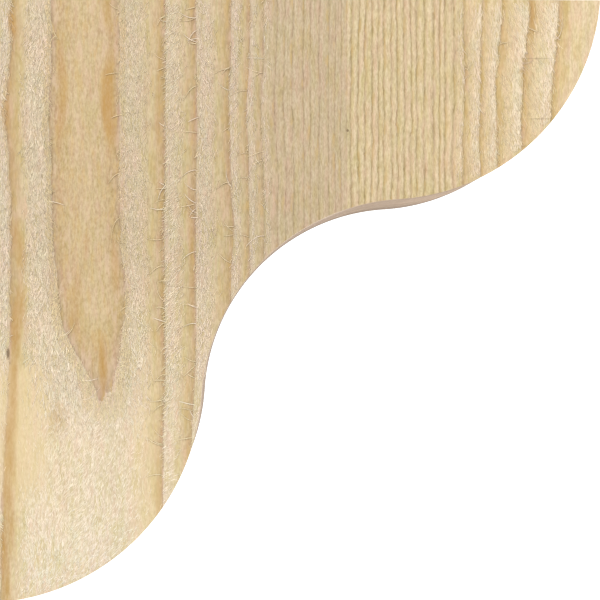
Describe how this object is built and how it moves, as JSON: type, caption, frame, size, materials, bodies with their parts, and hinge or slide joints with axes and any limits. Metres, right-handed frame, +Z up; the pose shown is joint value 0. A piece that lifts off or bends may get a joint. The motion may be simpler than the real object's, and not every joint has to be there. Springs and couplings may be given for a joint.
{
  "type": "wooden corbel bracket",
  "caption": "Solid sawn-timber corbel with a double-curved front edge, a flat back that goes against a wall or post and a flat top that carries a beam, shelf or eave.",
  "frame": {"origin": "centre of the flat back face, which goes against the wall", "axes": "+X out from the wall towards the nose, +Y across the thickness, +Z up towards the top face"},
  "size_m": [0.3048, 0.0888, 0.3048],
  "materials": {
    "sawn_softwood": "rough sawn, unfinished, matt"
  },
  "bodies": {
    "root": {"corbel_bracket": "sawn_softwood"}
  },
  "joints": []
}
